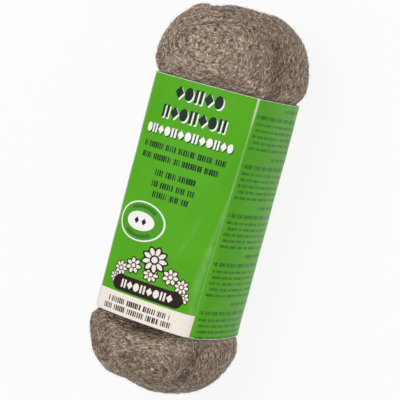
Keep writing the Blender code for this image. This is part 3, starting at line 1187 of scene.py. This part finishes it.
    def pale_panel(self, colour: Socket) -> Socket:
        """The pale panel along the front's lower edge, with two thin rows.

        Args:
            colour: what lies under it.

        Returns:
            The new colour.
        """
        panel = self.box(0.0, self.form.front_panel, -MM, self.panel_top)
        colour = self.graph.mix(panel, colour, self.inks.pale)
        for k, (left, right, low, high) in enumerate([(9.6, 46.0, 6.2, 9.3), (7.2, 48.1, 1.9, 5.0)]):
            row = PrintRow(left * MM, right * MM, low * MM, high * MM, 1.2 * MM, 11.0 + k)
            colour = self.graph.mix(self.row(self.strokes, row), colour, self.inks.brown_ink)
        return colour

    def side_rows(self, colour: Socket) -> Socket:
        """The right side panel's five blocks of small rows, one design repeated down the panel.

        Args:
            colour: what lies under it.

        Returns:
            The new colour.
        """
        graph, maths = self.graph, self.graph.maths
        repeat, top = 27.4 * MM, 132.0 * MM
        down = maths("SUBTRACT", top, self.along)
        block = maths("FLOOR", maths("DIVIDE", down, repeat))
        in_block = maths("SUBTRACT", down, maths("MULTIPLY", block, repeat))
        panel = self.form.front_panel
        rows = [(29.0, 56.0, 1.4, 3.2, 0.95), (2.5, 52.0, 6.4, 8.6, 1.05)]
        rows += [(3.0 + k % 2, 56.0 - 3.0 * (k % 3), 10.7 + 3.35 * k, 12.2 + 3.35 * k, 0.95)
                 for k in range(5)]
        mask = None
        for k, (left, right, low, high, cell) in enumerate(rows):
            inputs = {"Across": self.across, "Along": in_block, "Left": panel + left * MM,
                      "Right": panel + right * MM, "Low": low * MM, "High": high * MM,
                      "Cell": cell * MM, "Seed": maths("MULTIPLY_ADD", block, 9.0, 20.0 + k)}
            row = graph.node("ShaderNodeGroup", inputs, node_tree=self.strokes).outputs["Mask"]
            mask = row if mask is None else maths("MAXIMUM", mask, row)
        on_sleeve = maths("LESS_THAN", block, 4.5)
        return graph.mix(maths("MULTIPLY", maths("MULTIPLY", mask, on_sleeve), 0.78), colour, self.inks.ink)

    def painted_sheen(self, colour: Socket) -> Socket:
        """A painted sheen: the paler band beside the front right crease, wider towards the bottom, and a
        short paler streak on the front panel.

        Args:
            colour: what lies under it.

        Returns:
            The new colour.
        """
        graph, maths = self.graph, self.graph.maths
        where = graph.place()
        lower = graph.ramp(self.along, 92 * MM, 30 * MM)
        middle = maths("MULTIPLY_ADD", lower, -4.5 * MM, self.form.front_panel)
        away = graph.apart(self.across, middle)
        near = graph.ramp(away, maths("MULTIPLY_ADD", lower, 3.5 * MM, 1.2 * MM), 0.0)
        streaky = graph.ramp(graph.noise(where, 7 * MM, 3.0), 0.35, 0.65, 0.35, 1.0)
        inside = maths("GREATER_THAN", self.along, self.panel_top)
        fold_height = 54 * MM
        fold = maths("MULTIPLY_ADD", maths("SUBTRACT", self.along, fold_height), 0.3, 45 * MM)
        sheen = graph.ramp(graph.apart(self.across, fold), 2.6 * MM, 0.0, 0.0, 0.4)
        sheen = maths("MULTIPLY", sheen, graph.ramp(graph.apart(self.along, fold_height), 15 * MM, 4 * MM))
        share = maths("MULTIPLY", maths("MAXIMUM", near, sheen), maths("MULTIPLY", streaky, inside))
        return graph.mix(maths("MULTIPLY", share, self.inks.sheen_strength), colour, self.inks.sheen_green)

    def worn_creases(self, colour: Socket) -> Socket:
        """Pale paper showing along the creases and edges, most at the front right crease's top.

        Args:
            colour: what lies under it.

        Returns:
            The new colour.
        """
        graph, maths, form = self.graph, self.graph.maths, self.form
        where = graph.place()
        patchy = graph.noise(where, 2.2 * MM, 3.0)
        length = form.high_y - form.low_y
        near_top = graph.ramp(self.along, length - 26 * MM, length - 2 * MM)
        back = form.front_panel + form.side_panel
        worn_edge = 0.16 * MM
        places = [(0.0, worn_edge, 0.55), (back, worn_edge, 0.5), (back + form.front_panel, 0.2 * MM, 0.5)]
        for place, width, share in places:
            reach = maths("MULTIPLY_ADD", patchy, 2 * width, width)
            worn = maths("LESS_THAN", graph.apart(self.across, place), reach)
            colour = graph.mix(maths("MULTIPLY", worn, share), colour, self.inks.bare)
        reach = maths("MULTIPLY_ADD", patchy, 2 * worn_edge, worn_edge)
        reach = maths("MULTIPLY_ADD", near_top, 0.3 * MM, reach)
        away = graph.apart(self.across, form.front_panel)
        soft = graph.ramp(away, maths("MULTIPLY", reach, 2.2), maths("MULTIPLY", reach, 0.4))
        worn = maths("MULTIPLY", soft, graph.ramp(near_top, 0.0, 1.0, 0.16, 0.75))
        colour = graph.mix(worn, colour, self.inks.bare)
        edge = maths("MINIMUM", self.along, maths("SUBTRACT", length, self.along))
        frayed = maths("LESS_THAN", edge, maths("MULTIPLY", patchy, 0.7 * MM))
        return graph.mix(maths("MULTIPLY", frayed, 0.75), colour, self.inks.bare)


@dataclass
class Sleeve:
    """The printed paper strip round the roll."""

    form: RollForm
    finish: PaperFinish = field(default_factory=PaperFinish)
    steps_round: int = 230
    steps_along: int = 44
    sharp: float = 1.2 * MM  # the rounding of a crease
    soft: float = 9.0 * MM  # the rounding of the front right crease at the sleeve's bottom
    flare: float = 1.5 * MM  # how far the back right crease stands out towards the top
    ripple: float = 0.22 * MM
    ripple_size: float = 24 * MM
    ripples_round: float = 1.7
    flare_reach: float = 0.5  # in radians
    edge_angle: float = math.radians(40)

    def stations(self) -> tuple[list[float], float]:
        """The directions of the strip's columns, with one on each crease.

        Returns:
            The directions, and the one where the strip starts to climb onto its flap.
        """
        form = self.form
        corner = math.hypot(form.front_panel, form.side_panel) / 2
        last = form.creases()[2]
        start = last - form.glue_flap / corner
        end = last + FULL_TURN - form.flap_end_gap / corner
        climb = start + FULL_TURN - form.flap_ramp / corner
        stops = [start, climb, start + FULL_TURN, end]
        turned = [crease + FULL_TURN * k for crease in form.creases() for k in (0, 1)]
        stops += [each for each in turned if start < each < end]
        stops.sort()
        angles = [start]
        for low, high in zip(stops, stops[1:]):
            count = max(1, round((high - low) / (end - start) * self.steps_round))
            angles += [low + (high - low) * k / count for k in range(1, count + 1)]
        return angles, climb

    def rounding(self, theta: float, share: float) -> float:
        """How far a crease is rounded off there: the front right one softens towards the bottom."""
        right_front = math.cos(theta) > 0 and math.sin(theta) > 0
        return self.sharp + (self.soft - self.sharp) * (smooth(1 - share) if right_front else 0.0)

    def point(self, theta: float, share: float, climb: float) -> Vector:
        """A point of the strip's inner face, before it is put over the roll's middle.

        Args:
            theta: the direction, before the twist.
            share: the place along the sleeve.
            climb: the direction where the strip starts to climb onto its flap.

        Returns:
            The point.
        """
        form = self.form
        ramp = form.flap_ramp / (math.hypot(form.front_panel, form.side_panel) / 2)
        raised = smooth((theta - climb) / ramp) * (form.paper + form.glue)
        radius = form.section(theta, share, form.paper, self.rounding(theta, share)) + raised
        turned = theta + form.wrung * (0.5 - share)
        along = share * (form.high_y - form.low_y)
        where = Vector((math.cos(turned), math.sin(turned), along / self.ripple_size))
        ridge = noise.noise(where * self.ripples_round)
        off_crease = (theta - form.creases()[3] + math.pi) % FULL_TURN - math.pi
        flared = smooth(share) * math.exp(-((off_crease / self.flare_reach) ** 2))
        radius += self.ripple * ridge + self.flare * flared
        height = form.axis_height + radius * math.sin(turned)
        height = max(height, form.to_floor + form.paper)
        return Vector((radius * math.cos(turned), form.low_y + along, height))

    def across(self, theta: float) -> float:
        """The distance across the strip from the front left crease, along the flat panels.

        Args:
            theta: the direction, before the twist.

        Returns:
            The distance, less than zero past that crease.
        """
        form = self.form
        creases = form.creases()
        marks = [creases[0], creases[1], creases[2], creases[3], creases[0] + FULL_TURN]
        widths = [form.front_panel, form.side_panel, form.front_panel, form.side_panel]
        theta = creases[0] + (theta - creases[0]) % FULL_TURN
        done = form.front_panel
        for low, high, width in zip(marks, marks[1:], widths):
            if theta <= high + TINY:
                share = (math.tan(theta - (low + high) / 2) / math.tan((high - low) / 2) + 1) / 2
                return done - share * width
            done -= width
        return done

    def build(self) -> Object:
        """The strip as a thin closed sheet, printed outside and bare inside.

        Returns:
            The sleeve.
        """
        angles, climb = self.stations()
        shape = bmesh.new()
        columns = len(angles) - 1
        bmesh.ops.create_grid(shape, x_segments=columns, y_segments=self.steps_along, size=0.5)
        layer = shape.verts.layers.float_vector.new(PLACE)
        length = self.form.high_y - self.form.low_y
        round_strip = 2 * (self.form.front_panel + self.form.side_panel)
        last_crease = self.form.creases()[2]
        for vertex in shape.verts:
            theta = angles[round((vertex.co.x + 0.5) * columns)]
            share = vertex.co.y + 0.5
            vertex.co = self.point(theta, share, climb)
            across = self.across(theta)
            if theta < last_crease + FULL_TURN / 2 and across < 0:
                across += round_strip
            vertex[layer] = Vector((across, share * length, 0))
        shape.normal_update()
        middle = Vector((0, 0, self.form.axis_height))
        face = max(shape.faces, key=lambda each: each.calc_center_median().z)
        if face.normal.dot(face.calc_center_median() - middle) < 0:
            bmesh.ops.reverse_faces(shape, faces=shape.faces)
        mesh = bpy.data.meshes.new("sleeve")
        shape.to_mesh(mesh)
        shape.free()
        sleeve = bpy.data.objects.new("sleeve", mesh)
        bpy.context.scene.collection.objects.link(sleeve)
        mesh.materials.append(self.finish.material(self.form))
        mesh.materials.append(self.finish.bare_material())
        wall = sleeve.modifiers.new("paper", "SOLIDIFY")
        wall.thickness = self.form.paper
        wall.offset = 1
        wall.use_even_offset = True
        wall.material_offset = 1
        wall.material_offset_rim = 1
        as_plain_mesh(sleeve)
        self.centre(sleeve.data)
        sleeve.data.shade_smooth()
        sleeve.data.set_sharp_from_angle(angle=self.edge_angle)
        return sleeve

    @staticmethod
    def centre(mesh: bpy.types.Mesh) -> None:
        """Puts the strip over the same middle as the solid.

        Args:
            mesh: the strip's mesh.
        """
        low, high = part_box("paper_sleeve")
        values = [vertex.co.x for vertex in mesh.vertices]
        shift = (low.x + high.x - min(values) - max(values)) / 2
        mesh.transform(Matrix.Translation((shift, 0, 0)))

    def dress(self, sleeve: Object) -> None:
        """Says what the sleeve stands for."""
        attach(sleeve, "root")
        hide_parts("paper_sleeve")


@dataclass(frozen=True)
class Studio:
    """A pale floor, soft lamps, a white background and the camera."""

    swing: float = math.radians(24.0)  # from straight above the roll towards +X
    tilt: float = math.radians(5.5)  # towards the sleeve's top
    roll: float = math.radians(14.5)  # the roll's lean to the right in the picture
    distance: float = 0.95
    sensor: float = 36.0
    view_width: float = 0.2228  # what the picture takes in at the roll's middle
    aim: tuple[float, float, float] = (0.0, 0.0, 0.035)
    off_centre: tuple[float, float] = (0.8, 0.5)  # the middle's place in the picture, in pixels
    pixels: int = 400
    floor_reach: float = 3.0
    floor_shade: float = 0.9
    floor_glow: float = 0.88
    daylight: float = 0.55
    key_power: float = 5.5
    key_size: tuple[float, float] = (0.8, 0.8)
    key_place: tuple[float, float, float] = (-0.35, 0.35, 1.1)
    strip_power: float = 1.4
    strip_size: tuple[float, float] = (0.22, 0.9)
    strip_place: tuple[float, float, float] = (0.75, -0.05, 0.62)

    def camera(self) -> None:
        """The camera at the photograph's angle."""
        swing, tilt = self.swing, self.tilt
        back = Vector((math.sin(swing) * math.cos(tilt), math.sin(tilt), math.cos(swing) * math.cos(tilt)))
        right = Vector((math.cos(swing), 0, -math.sin(swing)))
        up = back.cross(right)
        image_right = right * math.cos(self.roll) + up * math.sin(self.roll)
        image_up = up * math.cos(self.roll) - right * math.sin(self.roll)
        pixel = self.view_width / self.pixels
        aim = Vector(self.aim) + image_right * self.off_centre[0] * pixel
        aim += image_up * self.off_centre[1] * pixel
        place = Matrix((image_right, image_up, back)).transposed().to_4x4()
        place.translation = aim + back * self.distance
        data = bpy.data.cameras.new("camera")
        data.sensor_width = self.sensor
        data.lens = self.sensor * self.distance / self.view_width
        data.clip_start = 0.01
        data.clip_end = 20
        camera = bpy.data.objects.new("camera", data)
        camera.matrix_world = place
        bpy.context.scene.collection.objects.link(camera)
        bpy.context.scene.camera = camera

    def lamp(
            self, name: str, place: tuple[float, float, float], power: float,
            size: tuple[float, float]) -> None:
        """A soft rectangular lamp that looks at the roll.

        Args:
            name: its name.
            place: where it hangs.
            power: its watts.
            size: its two sides.
        """
        data = bpy.data.lights.new(name, "AREA")
        data.shape = "RECTANGLE"
        data.size, data.size_y = size
        data.energy = power
        lamp = bpy.data.objects.new(name, data)
        lamp.location = place
        lamp.rotation_euler = (Vector(place) - Vector(self.aim)).to_track_quat("Z", "Y").to_euler()
        bpy.context.scene.collection.objects.link(lamp)

    @staticmethod
    def seen(graph: Graph) -> Socket:
        """1 for what the camera, a reflection or a clear body sees directly."""
        path = graph.node("ShaderNodeLightPath").outputs
        seen = graph.maths("MAXIMUM", path["Is Camera Ray"], path["Is Glossy Ray"])
        return graph.maths("MAXIMUM", seen, path["Is Transmission Ray"])

    def world(self) -> None:
        """White as a background, plain soft daylight as a light."""
        world = bpy.data.worlds.new("daylight")
        bpy.context.scene.world = world
        world.use_nodes = True
        graph = Graph(world.node_tree)
        strength = graph.maths("MAXIMUM", self.seen(graph), self.daylight)
        background = world.node_tree.nodes["Background"]
        graph.feed(background.inputs["Color"], (1, 1, 1, 1))
        graph.feed(background.inputs["Strength"], strength)

    def floor(self) -> None:
        """A pale floor that looks white and keeps the roll's soft shadow."""
        shape = bmesh.new()
        bmesh.ops.create_grid(shape, x_segments=1, y_segments=1, size=self.floor_reach)
        mesh = bpy.data.meshes.new("floor")
        shape.to_mesh(mesh)
        shape.free()
        floor = bpy.data.objects.new("floor", mesh)
        bpy.context.scene.collection.objects.link(floor)
        material, graph, surface = plain_material("pale_floor", (self.floor_shade,) * 3, self.floor_shade)
        glow = graph.node("ShaderNodeEmission", {"Color": (1, 1, 1, 1), "Strength": 1.0}).outputs[0]
        share = graph.maths("MULTIPLY", self.seen(graph), self.floor_glow)
        mixed = graph.node("ShaderNodeMixShader", {0: share, 1: surface.outputs[0], 2: glow}).outputs[0]
        graph.feed(material.node_tree.nodes["Material Output"].inputs["Surface"], mixed)
        mesh.materials.append(material)

    def build(self) -> None:
        """Sets the whole studio."""
        bpy.context.scene.view_settings.view_transform = "Standard"
        self.camera()
        self.world()
        self.floor()
        self.lamp("key", self.key_place, self.key_power, self.key_size)
        self.lamp("strip", self.strip_place, self.strip_power, self.strip_size)


def report(piece: Object) -> None:
    """Logs a piece's name and triangles."""
    triangles = sum(len(face.vertices) - 2 for face in piece.data.polygons)
    log.info("%s: %d triangles", piece.name, triangles)


def main() -> None:
    """Builds the studio, the wool and its sleeve."""
    logging.basicConfig(level=logging.INFO, format="%(name)s: %(message)s")
    Studio().build()
    form = RollForm()
    wool = WoolSkin(form)
    skin = wool.build()
    strands = Strands(skin)
    pieces = strands.build()
    paper = Sleeve(form)
    sleeve = paper.build()
    wool.dress(skin)
    strands.dress(pieces)
    paper.dress(sleeve)
    for piece in [skin, *pieces, sleeve]:
        report(piece)


if __name__ == "__main__":
    main()
